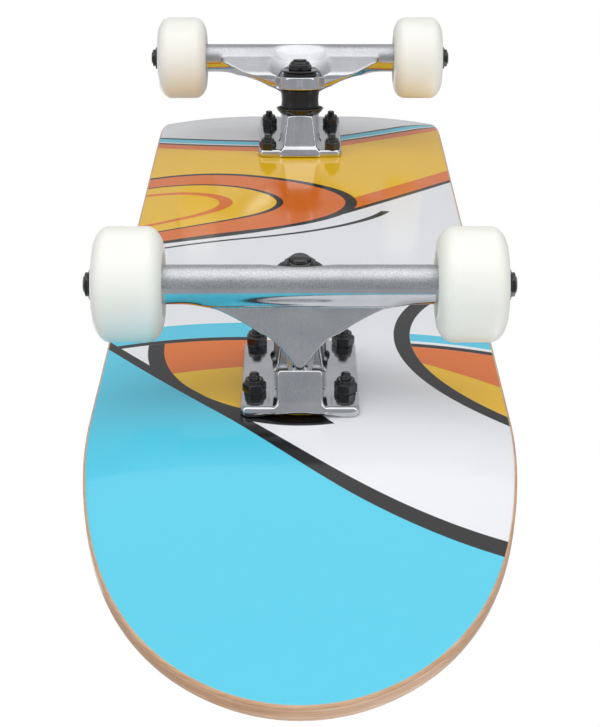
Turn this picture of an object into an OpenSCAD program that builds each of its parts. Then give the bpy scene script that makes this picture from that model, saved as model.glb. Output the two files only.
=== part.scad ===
// Street skateboard standing on its four wheels.
// Millimetres. +X points to the nose, +Y to the rider's left, +Z up.
// The origin is on the ground, under the middle of the deck.

/* [Deck] */
// Width of the deck across its rails
deck_width = 190.5; // [184:0.5:200]
// Thickness of the seven pressed plies
deck_thick = 11; // [9.5:0.1:12]
// Thickness of the grip tape
grip_thick = 0.8; // [0.5:0.1:1.2]
// Length of the nose along its curve, from the truck's centre
nose_arc = 206; // [195:1:215]
// Length of the tail along its curve, from the truck's centre
tail_arc = 197; // [188:1:210]
// Distance from a truck's centre to the start of the kick
kick_start = 40; // [38:1:50]
// Bend radius of the kicks
kick_radius = 150; // [100:5:220]
// Angle of the kicks
kick_angle = 20; // [14:1:24]
// Height of the rails above the flat middle
concave = 6; // [3:0.5:9]
// Half width of the flat strip between the rails
flat_half = 28; // [27:1:32]

/* [Truck position] */
// Distance between the two trucks' centres
truck_spacing = 371.3; // [355:0.1:400]
// Bolt spacing along the board
bolt_x = 53.8; // [53.8:0.1:54.2]
// Bolt spacing across the board
bolt_y = 41.3; // [41:0.1:41.6]

/* [Truck] */
// Axle centre below the deck's underside
axle_drop = 52.3; // [49:0.1:56]
// Axle centre outward of the bolt pattern's centre
axle_out = 16.7; // [14:0.1:19]
// Width of the hanger between its wheel faces
hanger_width = 127; // [125:0.5:129]
// Length of the axle, tip to tip
axle_length = 193.7; // [193:0.1:196]
// Radius of the axle rod
axle_r = 3.97; // [3.9:0.01:4]
// Radius of the hanger's barrel
barrel_r = 8.9; // [8.5:0.1:9.5]
// Angle of the steering axis above the deck's plane
pivot_angle = 39; // [38:0.5:40]
// Lean of the kingpin away from the board's middle
kingpin_lean = 8.5; // [7:0.5:10]
// Radius of the kingpin
kingpin_r = 4.76; // [4.6:0.01:4.8]
// Thickness of the hanger's ring
ring_thick = 8.8; // [8:0.1:10]

/* [Baseplate] */
// Thickness of the baseplate's wings
plate_thick = 4.6; // [4:0.1:5.5]
// Width of the baseplate
plate_width = 53.6; // [53:0.1:56]
// Reach of the baseplate outward of the bolt pattern's centre
plate_out = 45.4; // [44:0.1:46]
// Reach of the baseplate inward of the bolt pattern's centre
plate_in = 32.5; // [32:0.1:34]

/* [Wheels] */
// Radius of a wheel
wheel_r = 26; // [25:0.5:27]
// Width of a wheel
wheel_width = 31.5; // [31:0.5:33]
// Width of the flat tread
tread_width = 16; // [14:0.5:18]

/* [Hidden] */
$fn = 48;
eps = 0.5;

// ---- Deck -----------------------------------------------------------------------------------

under_z = wheel_r + axle_drop;      // height of the deck's flat underside
taper_start = 20;                   // the outline starts to narrow this far from a truck's centre
tip_half = 2;                       // half width of the last station, at the very tip
tip_stations = 22;
rail_points = 5;                    // points across the curved part of each rail
kick_arc = kick_radius * kick_angle * PI / 180;

// Reach and rise of the underside at arc length s from a truck's centre, and its slope there
function slope(s) = min(kick_angle, max(0, s - kick_start) / kick_radius * 180 / PI);
function straight(s) = max(0, s - kick_start - kick_arc);
function reach(s) =
    min(s, kick_start) + kick_radius * sin(slope(s)) + straight(s) * cos(kick_angle);
function rise(s) = kick_radius * (1 - cos(slope(s))) + straight(s) * sin(kick_angle);

// Half width of the deck at arc length s of an end that is arc long
function half_width(s, arc) =
    s <= taper_start ? deck_width / 2
    : max(tip_half, deck_width / 2 * sqrt(max(0, 1 - pow((s - taper_start) / (arc - taper_start), 3))));

// Stations get closer towards the tip, so that the outline stays round
function stations(arc) =
    [for (j = [0:tip_stations]) taper_start + (arc - taper_start) * sin(90 * j / tip_stations)];

nose_reach = reach(nose_arc);
tail_reach = reach(tail_arc);
deck_length = truck_spacing + nose_reach + tail_reach;
nose_truck_x = deck_length / 2 - nose_reach;
tail_truck_x = -deck_length / 2 + tail_reach;

// One station of the deck: [x, z, slope towards +X, half width]
function nose_station(s) = [nose_truck_x + reach(s), rise(s), slope(s), half_width(s, nose_arc)];
function tail_station(s) = [tail_truck_x - reach(s), rise(s), -slope(s), half_width(s, tail_arc)];
tail_list = stations(tail_arc);
deck_stations = concat(
    [for (j = [len(tail_list) - 1:-1:0]) tail_station(tail_list[j])],
    [for (s = stations(nose_arc)) nose_station(s)]
);

// Positions across the board, as parts of the half width: the flat strip, then the rails
flat_part = flat_half / (deck_width / 2);
function rail_part(k) = flat_part + (1 - flat_part) * k / rail_points;
across = concat(
    [for (k = [rail_points:-1:0]) -rail_part(k)],
    [for (k = [0:rail_points]) rail_part(k)]
);
function dish(y) = concave * pow(max(0, abs(y) - flat_half) / (deck_width / 2 - flat_half), 2);

// A point of the deck, up above its underside along the kick's normal
function deck_point(st, part, up) =
    let (y = st[3] * part, h = up + dish(y))
    [st[0] - h * sin(st[2]), y, under_z + st[1] + h * cos(st[2])];

// A pressed sheet between two heights above the deck's underside
module pressed_sheet(low, high) {
    n = len(deck_stations);
    m = len(across);
    points = [
        for (up = [low, high]) for (st = deck_stations) for (part = across) deck_point(st, part, up)
    ];
    top = n * m;
    faces = concat(
        [for (i = [0:n - 2]) for (j = [0:m - 2])
            [i * m + j, i * m + j + 1, (i + 1) * m + j + 1, (i + 1) * m + j]],
        [for (i = [0:n - 2]) for (j = [0:m - 2])
            [top + i * m + j, top + (i + 1) * m + j, top + (i + 1) * m + j + 1, top + i * m + j + 1]],
        [for (i = [0:n - 2]) [i * m, (i + 1) * m, top + (i + 1) * m, top + i * m]],
        [for (i = [0:n - 2]) let (k = m - 1)
            [(i + 1) * m + k, i * m + k, top + i * m + k, top + (i + 1) * m + k]],
        [for (j = [0:m - 2]) [j + 1, j, top + j, top + j + 1]],
        [for (j = [0:m - 2]) let (e = (n - 1) * m)
            [e + j, e + j + 1, top + e + j + 1, top + e + j]]
    );
    polyhedron(points, faces);
}

// ---- Placing ----------------------------------------------------------------------------------

// A truck's own frame: origin at the bolt pattern's centre on the deck's underside,
// +X inward along the board and +Z down, away from the deck.
module at_truck(front) {
    translate([front ? nose_truck_x : tail_truck_x, 0, under_z])
        rotate(front ? [0, 180, 0] : [180, 0, 0])
            children();
}

// Ring centre, where the steering axis and the kingpin's axis cross, in the truck's frame
ring_x = 7.4;
ring_z = 42.9;

// Along the kingpin, from the ring's centre; positive is away from the deck
module on_kingpin(t) {
    translate([ring_x, 0, ring_z]) rotate([0, -kingpin_lean, 0]) translate([0, 0, t]) children();
}

// Along the steering axis, back from the ring's centre towards the pivot
module on_pivot(back) {
    translate([ring_x, 0, ring_z]) rotate([0, 90 - pivot_angle, 0]) translate([0, 0, -back]) children();
}

module at_bolts() {
    for (x = [-bolt_x / 2, bolt_x / 2]) for (y = [-bolt_y / 2, bolt_y / 2])
        translate([x, y, 0]) children();
}

// Along the axle, outward from the hanger's wheel face
module at_hub(front, left) {
    x = front ? nose_truck_x + axle_out : tail_truck_x - axle_out;
    translate([x, 0, wheel_r]) rotate([left ? -90 : 90, 0, 0])
        translate([0, 0, hanger_width / 2]) children();
}

module tube(outer, inner, length) {
    difference() {
        cylinder(r = outer, h = length);
        translate([0, 0, -eps]) cylinder(r = inner, h = length + 2 * eps);
    }
}

// Radius to the corners of a hexagon of a given width across its flats
function hex_r(flats) = flats / 2 / cos(30);

// ---- Deck hardware ----------------------------------------------------------------------------

bolt_r = 2.4;
bolt_hole_r = 2.6;
head_r = 4.6;
head_depth = 2.6;
bolt_tip = 13.5;                    // bolt tip below the deck's underside
socket_flats = 3.2;
stack = deck_thick + grip_thick;    // from the underside to the top of the grip tape

module bolt_bore(clearance) {
    translate([0, 0, -stack - eps]) cylinder(r = bolt_hole_r, h = stack + 2 * eps);
    translate([0, 0, -stack]) cylinder(r1 = head_r + clearance, r2 = bolt_hole_r, h = head_depth);
    translate([0, 0, -stack - eps]) cylinder(r = head_r + clearance, h = eps);
}

module deck() {
    color("burlywood") difference() {
        pressed_sheet(0, deck_thick);
        for (front = [true, false]) at_truck(front) at_bolts() bolt_bore(0);
    }
}

module grip_tape() {
    color("dimgray") difference() {
        pressed_sheet(deck_thick, stack);
        for (front = [true, false]) at_truck(front) at_bolts() bolt_bore(0);
    }
}

module deck_bolts(front) {
    color("dimgray") at_truck(front) at_bolts() difference() {
        union() {
            translate([0, 0, -stack]) cylinder(r = bolt_r, h = stack + bolt_tip);
            translate([0, 0, -stack]) cylinder(r1 = head_r, r2 = bolt_r, h = head_depth);
        }
        translate([0, 0, -stack - eps]) cylinder(r = hex_r(socket_flats), h = eps + 2, $fn = 6);
    }
}

nut_flats = 9.5;
nut_hex = 4.4;
nut_height = 6.2;
nut_collar_r = 4.2;

module lock_nuts(front) {
    color("black") at_truck(front) at_bolts() translate([0, 0, plate_thick]) difference() {
        union() {
            cylinder(r = hex_r(nut_flats), h = nut_hex, $fn = 6);
            cylinder(r = nut_collar_r, h = nut_height);
        }
        translate([0, 0, -eps]) cylinder(r = bolt_r, h = nut_height + 2 * eps);
    }
}

// ---- Truck: stack on the kingpin, as distances from the ring's centre ---------------------------

ring_half = ring_thick / 2;
ring_r = 15;
ring_bore_r = 6.5;
seat = 20.4;                        // the baseplate's seat, on the deck side of the ring
seat_r = 15;
washer_base = 1.5;
lower_washer_r = 15.2;              // at the lip, which flares out from the base
lower_washer_foot_r = 12.6;
lower_washer_lip = 4;
bushing_r = 12.5;
upper_bushing_r = 10.5;
upper_seat = ring_half - 1.3;        // floor of the pocket in the ring's road side
upper_bushing_top = ring_half + 1.9;
upper_washer_r = 11.7;
nut_base = upper_bushing_top + 1.2;
kingpin_nut_height = 5.6;
kingpin_flats = 14.3;
kingpin_end = nut_base + kingpin_nut_height + 1.2;
kingpin_head = 40.8;                // top of the head, inside the baseplate
kingpin_head_r = 8;
kingpin_head_thick = 4.5;

// ---- Truck: pivot, as distances back from the ring's centre -------------------------------------

pivot_mouth = 50.2;
pivot_ball = 53.2;
pivot_ball_r = 4.6;
cup_r = 6.75;
cup_floor = 57.9;
running_gap = 0.06;

// ---- Baseplate ---------------------------------------------------------------------------------

plate_corner = 5;
housing_half = 10.3;                // half width of the pivot housing
ramp_half = 10;                     // half width of the kingpin ramp
foot_flare = 3;                     // how far a block's foot spreads into the plate
block_sink = 1;                     // how far the blocks reach into the plate
housing_top_x = -38.6;
arch_half = 18.5;
arch_rise = 2.2;
arch_depth = 7;
arch_r = (arch_half * arch_half + arch_rise * arch_rise) / (2 * arch_rise);
mouth_x = ring_x - pivot_mouth * cos(pivot_angle);
mouth_z = ring_z - pivot_mouth * sin(pivot_angle);

// Height of the pivot's mouth plane at x
function mouth_line(x) = mouth_z - (x - mouth_x) / tan(pivot_angle);

// Front view of a block with a foot that spreads in a quarter circle on each side
module flared_profile(half, top) {
    z0 = plate_thick;
    right = [for (a = [0:15:90]) [half + foot_flare * (1 - sin(a)), z0 + foot_flare * (1 - cos(a))]];
    left = [for (k = [len(right) - 1:-1:0]) [-right[k][0], right[k][1]]];
    polygon(concat([[half + foot_flare, block_sink]], right, [[half, top], [-half, top]],
        left, [[-half - foot_flare, block_sink]]));
}

// A block of the given side outline, whose front view has a spread foot
module flared_block(outline, half, top) {
    intersection() {
        translate([0, half + foot_flare, 0]) rotate([90, 0, 0])
            linear_extrude(2 * (half + foot_flare)) polygon(outline);
        translate([-plate_out, 0, 0]) rotate([90, 0, 90])
            linear_extrude(plate_out + plate_in) flared_profile(half, top);
    }
}

module plate() {
    linear_extrude(plate_thick) hull() {
        for (x = [-plate_out + plate_corner, plate_in - plate_corner])
            for (y = [-1, 1]) translate([x, y * (plate_width / 2 - plate_corner)])
                circle(r = plate_corner, $fn = 32);
    }
}

module baseplate(front) {
    inner_foot_x = mouth_x + (mouth_z - plate_thick) * tan(pivot_angle);
    ramp_top_x = 23.5;
    ramp_top_z = 24.2;
    ramp_back_z = 19.4;
    color("silver") at_truck(front) difference() {
        union() {
            plate();
            flared_block([[-plate_out + 0.4, block_sink], [housing_top_x, mouth_line(housing_top_x)],
                [inner_foot_x, plate_thick], [inner_foot_x, block_sink]], housing_half, 20);
            flared_block([[-8, block_sink], [plate_in - 0.3, block_sink], [plate_in - 0.3, plate_thick],
                [ramp_top_x, ramp_top_z], [-8, ramp_back_z]], ramp_half, 26);
            intersection() {
                on_kingpin(-seat - 30) cylinder(r = seat_r, h = 30);
                translate([-40, -30, block_sink]) cube([80, 60, 40]);
            }
        }
        at_bolts() translate([0, 0, -eps]) cylinder(r = bolt_hole_r, h = plate_thick + 2 * eps);
        on_pivot(cup_floor) cylinder(r = cup_r, h = 20);
        on_kingpin(-60) cylinder(r = kingpin_r + 0.04, h = 60);
        on_kingpin(-60) cylinder(r = kingpin_head_r + 0.1, h = 60 - kingpin_head + kingpin_head_thick);
        translate([-plate_out - eps, 0, arch_rise - arch_r]) rotate([0, 90, 0])
            cylinder(r = arch_r, h = arch_depth, $fn = 96);
    }
}

module pivot_cup(front) {
    color("black") at_truck(front) on_pivot(cup_floor) difference() {
        cylinder(r = cup_r, h = cup_floor - pivot_mouth);
        translate([0, 0, cup_floor - pivot_ball]) sphere(r = pivot_ball_r + running_gap);
        translate([0, 0, cup_floor - pivot_ball]) cylinder(r = pivot_ball_r + running_gap, h = 10);
    }
}

module kingpin(front) {
    color("dimgray") at_truck(front) {
        on_kingpin(-kingpin_head) cylinder(r = kingpin_r, h = kingpin_head + kingpin_end);
        on_kingpin(-kingpin_head) cylinder(r = kingpin_head_r, h = kingpin_head_thick);
    }
}

module lower_washer(front) {
    wall = 1.3;
    bore = kingpin_r + 0.1;
    color("black") at_truck(front) on_kingpin(-seat) rotate_extrude()
        polygon([[bore, 0], [lower_washer_foot_r, 0], [lower_washer_r, lower_washer_lip - 0.8],
            [lower_washer_r, lower_washer_lip], [lower_washer_r - wall, lower_washer_lip],
            [bushing_r + 0.1, washer_base], [bore, washer_base]]);
}

module lower_bushing(front) {
    height = seat - washer_base - ring_half;
    color("black") at_truck(front) on_kingpin(-seat + washer_base)
        tube(bushing_r, kingpin_r + 0.1, height);
}

module upper_bushing(front) {
    color("black") at_truck(front) on_kingpin(upper_seat)
        tube(upper_bushing_r, kingpin_r + 0.1, upper_bushing_top - upper_seat);
}

module upper_washer(front) {
    color("black") at_truck(front) on_kingpin(upper_bushing_top)
        tube(upper_washer_r, kingpin_r + 0.1, nut_base - upper_bushing_top);
}

module kingpin_nut(front) {
    color("black") at_truck(front) on_kingpin(nut_base) difference() {
        cylinder(r = hex_r(kingpin_flats), h = kingpin_nut_height, $fn = 6);
        translate([0, 0, -eps]) cylinder(r = kingpin_r + 0.02, h = kingpin_nut_height + 2 * eps);
    }
}

// ---- Hanger -------------------------------------------------------------------------------------

yoke_apex = [-33, 18.4];            // lowest point of the yoke's flat outer face, near the pivot
yoke_tilt = 24.5;                   // lean of that face from the vertical
yoke_height = 31;
yoke_thick = 7;
yoke_widest = 50;
bushing_clearance_r = 16.6;
dish_centre = [16.9, 84.3];         // of the broad hollow around the kingpin's nut
dish_r = 41.3;

// Half width of the yoke at a height above its apex
function yoke_half(h) = min(yoke_widest, 3.5 + 0.85 * h + 0.0012 * pow(h, 3));

module yoke() {
    side = [for (h = [0:yoke_height / 10:yoke_height]) [yoke_half(h), h]];
    other = [for (k = [len(side) - 1:-1:0]) [-side[k][0], side[k][1]]];
    translate([yoke_apex[0], 0, yoke_apex[1]]) rotate([0, yoke_tilt, 0]) rotate([90, 0, 90])
        linear_extrude(yoke_thick) polygon(concat(side, other));
}

module hanger(front) {
    web_half = 26;
    color("silver") at_truck(front) difference() {
        union() {
            translate([-axle_out, hanger_width / 2, axle_drop]) rotate([90, 0, 0])
                cylinder(r = barrel_r, h = hanger_width);
            yoke();
            hull() {
                translate([-axle_out, web_half, axle_drop]) rotate([90, 0, 0])
                    cylinder(r = barrel_r, h = 2 * web_half, $fn = 32);
                on_kingpin(-ring_half) cylinder(r = ring_r, h = ring_thick, $fn = 32);
            }
            on_pivot(pivot_ball) sphere(r = pivot_ball_r);
            on_pivot(pivot_ball) cylinder(r = pivot_ball_r, h = 8);
            on_pivot(pivot_ball - 7) cylinder(r1 = pivot_ball_r, r2 = 6, h = 7);
        }
        on_kingpin(-seat - 3) cylinder(r = bushing_clearance_r, h = seat + 3 - ring_half);
        on_kingpin(-ring_half - eps) cylinder(r = ring_bore_r, h = 40);
        on_kingpin(upper_seat) cylinder(r = upper_washer_r + 1.8, h = 30);
        intersection() {
            translate([dish_centre[0], 0, dish_centre[1]]) sphere(r = dish_r);
            on_kingpin(ring_half) cylinder(r = 40, h = 40);
        }
        translate([-axle_out, hanger_width / 2 + eps, axle_drop]) rotate([90, 0, 0])
            cylinder(r = axle_r, h = hanger_width + 2 * eps);
    }
}

module axle(front) {
    x = front ? nose_truck_x + axle_out : tail_truck_x - axle_out;
    color("gray") translate([x, axle_length / 2, wheel_r]) rotate([90, 0, 0])
        cylinder(r = axle_r, h = axle_length);
}

// ---- Wheel and bearings, as distances outward from the hanger's wheel face ------------------------

race_outer_r = 11;
race_width = 7;
speed_washer = 1;
spacer_length = 10.2;
inner_bearing = speed_washer;
outer_bearing = speed_washer + race_width + spacer_length;
hub_middle = outer_bearing + race_width - (race_width * 2 + spacer_length) / 2;
ball_r = 1.984;
pitch_r = 7.5;
ball_count = 7;
groove_r = ball_r + running_gap;
core_half = 12.4;                   // half width of the wheel at its bearing seats
web_half_width = spacer_length / 2;
lip_r = 15.5;                       // radius where the wheel is widest

module at_bearings() {
    for (a = [inner_bearing, outer_bearing]) translate([0, 0, a]) children();
}

module wheel(front, left) {
    half = wheel_width / 2;
    tread = tread_width / 2;
    function shoulder(side) = [for (a = [0:10:90])
        [lip_r + (wheel_r - lip_r) * sin(a), side * (tread + (half - tread) * cos(a))]];
    rising = [for (k = [0:9]) shoulder(-1)[k]];
    falling = [for (k = [9:-1:0]) shoulder(1)[k]];
    color("ivory") at_hub(front, left) translate([0, 0, hub_middle]) rotate_extrude($fn = 96)
        polygon(concat(
            [[race_outer_r, -core_half], [13, -core_half]], rising, falling,
            [[13, core_half], [race_outer_r, core_half], [race_outer_r, web_half_width],
             [8.5, web_half_width], [8.5, -web_half_width], [race_outer_r, -web_half_width]]));
}

module race(inner, outer) {
    difference() {
        tube(outer, inner, race_width);
        translate([0, 0, race_width / 2]) rotate_extrude($fn = 96) translate([pitch_r, 0])
            circle(r = groove_r, $fn = 32);
    }
}

module outer_races(front, left) {
    color("silver") at_hub(front, left) at_bearings() race(9.1, race_outer_r);
}

module inner_races(front, left) {
    color("silver") at_hub(front, left) at_bearings() race(4, 6.1);
}

// The balls, and a crown cage that holds them from one side
module balls(front, left) {
    color("gray") at_hub(front, left) at_bearings() translate([0, 0, race_width / 2]) {
        for (k = [0:ball_count - 1]) rotate([0, 0, 360 / ball_count * k])
            translate([pitch_r, 0, 0]) sphere(r = ball_r);
        difference() {
            translate([0, 0, 0.3]) tube(8.5, 6.6, 2);
            for (k = [0:ball_count - 1]) rotate([0, 0, 360 / ball_count * k])
                translate([pitch_r, 0, 0]) sphere(r = groove_r);
        }
    }
}

module shields(front, left) {
    inset = 0.35;
    thick = 0.4;
    color("black") at_hub(front, left) {
        translate([0, 0, inner_bearing + inset]) tube(9.1, 6.4, thick);
        translate([0, 0, outer_bearing + race_width - inset - thick]) tube(9.1, 6.4, thick);
    }
}

module spacer(front, left) {
    color("silver") at_hub(front, left) translate([0, 0, inner_bearing + race_width])
        tube(5.2, 4, spacer_length);
}

module speed_washers(front, left) {
    color("silver") at_hub(front, left) {
        tube(5.9, 4.02, speed_washer);
        translate([0, 0, outer_bearing + race_width]) tube(5.9, 4.02, speed_washer);
    }
}

axle_nut_flats = 12.7;
axle_nut_height = 6.4;

module axle_nut(front, left) {
    color("black") at_hub(front, left) translate([0, 0, outer_bearing + race_width + speed_washer])
        difference() {
            cylinder(r = hex_r(axle_nut_flats), h = axle_nut_height, $fn = 6);
            translate([0, 0, -eps]) cylinder(r = axle_r + 0.02, h = axle_nut_height + 2 * eps);
        }
}

// ---- Assembly -------------------------------------------------------------------------------------

deck();
grip_tape();
deck_bolts(true);  // front_deck_bolts
deck_bolts(false);  // rear_deck_bolts
lock_nuts(true);  // front_lock_nuts
lock_nuts(false);  // rear_lock_nuts

baseplate(true);  // front_baseplate
pivot_cup(true);  // front_pivot_cup
kingpin(true);  // front_kingpin
lower_washer(true);  // front_lower_washer
lower_bushing(true);  // front_lower_bushing
upper_bushing(true);  // front_upper_bushing
upper_washer(true);  // front_upper_washer
kingpin_nut(true);  // front_kingpin_nut
hanger(true);  // front_hanger
axle(true);  // front_axle

baseplate(false);  // rear_baseplate
pivot_cup(false);  // rear_pivot_cup
kingpin(false);  // rear_kingpin
lower_washer(false);  // rear_lower_washer
lower_bushing(false);  // rear_lower_bushing
upper_bushing(false);  // rear_upper_bushing
upper_washer(false);  // rear_upper_washer
kingpin_nut(false);  // rear_kingpin_nut
hanger(false);  // rear_hanger
axle(false);  // rear_axle

wheel(true, true);  // front_left_wheel
outer_races(true, true);  // front_left_outer_races
inner_races(true, true);  // front_left_inner_races
balls(true, true);  // front_left_balls
shields(true, true);  // front_left_shields
spacer(true, true);  // front_left_spacer
speed_washers(true, true);  // front_left_speed_washers
axle_nut(true, true);  // front_left_axle_nut

wheel(true, false);  // front_right_wheel
outer_races(true, false);  // front_right_outer_races
inner_races(true, false);  // front_right_inner_races
balls(true, false);  // front_right_balls
shields(true, false);  // front_right_shields
spacer(true, false);  // front_right_spacer
speed_washers(true, false);  // front_right_speed_washers
axle_nut(true, false);  // front_right_axle_nut

wheel(false, true);  // rear_left_wheel
outer_races(false, true);  // rear_left_outer_races
inner_races(false, true);  // rear_left_inner_races
balls(false, true);  // rear_left_balls
shields(false, true);  // rear_left_shields
spacer(false, true);  // rear_left_spacer
speed_washers(false, true);  // rear_left_speed_washers
axle_nut(false, true);  // rear_left_axle_nut

wheel(false, false);  // rear_right_wheel
outer_races(false, false);  // rear_right_outer_races
inner_races(false, false);  // rear_right_inner_races
balls(false, false);  // rear_right_balls
shields(false, false);  // rear_right_shields
spacer(false, false);  // rear_right_spacer
speed_washers(false, false);  // rear_right_speed_washers
axle_nut(false, false);  // rear_right_axle_nut
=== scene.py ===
import math

import bpy
import numpy as np
from mathutils import Matrix, Vector
from mathutils.kdtree import KDTree


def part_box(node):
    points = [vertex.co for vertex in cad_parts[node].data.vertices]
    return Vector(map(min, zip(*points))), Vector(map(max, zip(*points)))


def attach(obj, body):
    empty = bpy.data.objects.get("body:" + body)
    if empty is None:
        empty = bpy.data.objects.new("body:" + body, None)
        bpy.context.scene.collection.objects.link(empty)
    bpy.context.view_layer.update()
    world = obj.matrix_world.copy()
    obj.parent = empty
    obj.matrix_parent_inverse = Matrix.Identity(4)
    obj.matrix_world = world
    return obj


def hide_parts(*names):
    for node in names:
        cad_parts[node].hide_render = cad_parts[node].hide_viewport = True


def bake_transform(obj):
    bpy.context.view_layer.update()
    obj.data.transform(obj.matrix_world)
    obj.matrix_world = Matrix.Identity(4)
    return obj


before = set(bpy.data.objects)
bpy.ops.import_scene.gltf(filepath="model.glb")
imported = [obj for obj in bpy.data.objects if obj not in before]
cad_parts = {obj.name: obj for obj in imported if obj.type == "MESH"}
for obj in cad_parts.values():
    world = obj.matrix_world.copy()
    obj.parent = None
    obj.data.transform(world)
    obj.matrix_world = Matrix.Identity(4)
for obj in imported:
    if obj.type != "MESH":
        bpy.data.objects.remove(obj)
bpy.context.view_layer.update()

# Lengths in this script are millimetres, as in the CAD model, until a mesh is made.
MM = 0.001
ENDS = ("front", "rear")
SIDES = ("left", "right")


# ---- Places, read from the frame ------------------------------------------------------------------

def centre(node):
    low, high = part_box(node)
    return (low + high) / MM / 2


def top_of(node):
    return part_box(node)[1] / MM


UNDER_Z = top_of("front_baseplate").z
TRUCK_X = {end: centre(f"{end}_deck_bolts").x for end in ENDS}
AXLE = {end: centre(f"{end}_axle") for end in ENDS}
WHEEL_R = top_of("front_left_wheel").z - centre("front_left_wheel").z
AXLE_DROP = UNDER_Z - AXLE["front"].z
AXLE_OUT = AXLE["front"].x - TRUCK_X["front"]
AXLE_HALF = top_of("front_axle").y
DECK_HALF = top_of("deck").y

# Driving sizes of the design, as in part.scad
DECK_THICK, GRIP_THICK = 11.0, 0.8
KICK_START, KICK_R, KICK_ANGLE = 40.0, 150.0, math.radians(20)
NOSE_ARC, TAIL_ARC, TAPER_START = 206.0, 197.0, 20.0
CONCAVE, FLAT_HALF = 6.0, 28.0
BOLT_X, BOLT_Y = 53.8 / 2, 41.3 / 2
RING_X, RING_Z, RING_HALF, RING_R, RING_BORE = 7.4, 42.9, 4.4, 14.5, 6.5
PIVOT_ANGLE, KINGPIN_LEAN = math.radians(39), math.radians(-8.5)
SEAT, UPPER_WASHER_AT, NUT_AT, KINGPIN_TIP = 20.4, 6.3, 7.5, 14.3
PIVOT_BALL, UPPER_SEAT = 53.2, 3.1
HANGER_HALF, BARREL_R, AXLE_R = 63.5, 8.9, 3.97
PLATE_THICK, PLATE_HALF, PLATE_OUT, PLATE_IN = 4.6, 26.8, 45.4, 32.5
HUB_MIDDLE = 13.1                    # wheel's middle, outward of the hanger's wheel face
DISH_X, DISH_Z, DISH_R = 16.9, 84.3, 41.3    # broad hollow round the kingpin's nut, a sphere
POCKET_R, BUSHING_ROOM_R, PIVOT_BALL_R, CUP_BASE = 13.5, 16.6, 4.6, 1.5


def truck_matrix(end):
    """From a truck's own frame (+X inward, +Z away from the deck) to the row frame, in millimetres."""
    turn = Matrix.Rotation(math.pi, 4, "Y" if end == "front" else "X")
    return Matrix.Translation((TRUCK_X[end], 0, UNDER_Z)) @ turn


def kingpin_matrix(end, t):
    """Local +Z runs along the kingpin, away from the deck, from a point t past the ring's centre."""
    ring = Matrix.Translation((RING_X, 0, RING_Z)) @ Matrix.Rotation(KINGPIN_LEAN, 4, "Y")
    return truck_matrix(end) @ ring @ Matrix.Translation((0, 0, t))


def hub_matrix(end, side, a=0.0):
    """Local +Z runs outward along the axle, from a point a past the hanger's wheel face."""
    turn = Matrix.Rotation(math.radians(-90 if side == "left" else 90), 4, "X")
    return Matrix.Translation(AXLE[end]) @ turn @ Matrix.Translation((0, 0, HANGER_HALF + a))


# ---- Mesh building --------------------------------------------------------------------------------

def make_object(name, verts, faces, matrix=None, material=None, smooth=True):
    """A mesh object from points in millimetres. Its place is in its vertices."""
    verts = np.asarray(verts, float)
    if matrix is not None:
        m = np.array(matrix)
        verts = verts @ m[:3, :3].T + m[:3, 3]
    mesh = bpy.data.meshes.new(name)
    mesh.from_pydata((verts * MM).tolist(), [], [list(f) for f in faces])
    mesh.validate()
    mesh.update()
    if smooth:
        mesh.polygons.foreach_set("use_smooth", [True] * len(mesh.polygons))
    obj = bpy.data.objects.new(name, mesh)
    bpy.context.scene.collection.objects.link(obj)
    for m in ([material] if isinstance(material, bpy.types.Material) else material or []):
        mesh.materials.append(m)
    return obj


def place(obj, body, slot, *replaced):
    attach(obj, body)
    if replaced:
        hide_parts(*replaced)
    return obj


def hex_radius(angle, flats):
    """Radius of a hexagon at an angle, with a corner at angle 0."""
    off = (angle % (math.pi / 3)) - math.pi / 6
    return flats / 2 / np.cos(off)


def turned(profile, steps=96, flats=None, closed=True):
    """A lathe-turned solid. The profile's points are (radius, height), or (radius, height, "hex"), which
    is cut back to a hexagon flats wide, or (width, height, "socket") for a hexagonal hole.
    The profile goes round once; with closed, its last point joins its first."""
    angles = np.arange(steps) * 2 * math.pi / steps
    rings = []
    for point in profile:
        r = np.full(steps, float(point[0]))
        if len(point) == 3 and point[2] == "hex":
            r = np.minimum(r, hex_radius(angles, flats))
        elif len(point) == 3:
            r = hex_radius(angles, point[0])
        rings.append(np.stack([r * np.cos(angles), r * np.sin(angles), np.full(steps, point[1])], 1))
    verts = np.concatenate(rings)
    faces = []
    n = len(profile)
    for i in range(n if closed else n - 1):
        a, b = i * steps, ((i + 1) % n) * steps
        for k in range(steps):
            l = (k + 1) % steps
            faces.append((a + k, a + l, b + l, b + k))
    if not closed:
        faces.append(tuple(range(steps - 1, -1, -1)))
        faces.append(tuple((n - 1) * steps + k for k in range(steps)))
    return verts, faces


def arc(cx, cz, r, start, stop, count, rz=None):
    """Points of an arc about (cx, cz) from start to stop degrees."""
    rz = r if rz is None else rz
    return [(cx + r * math.cos(math.radians(a)), cz + rz * math.sin(math.radians(a)))
            for a in np.linspace(start, stop, count)]


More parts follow.
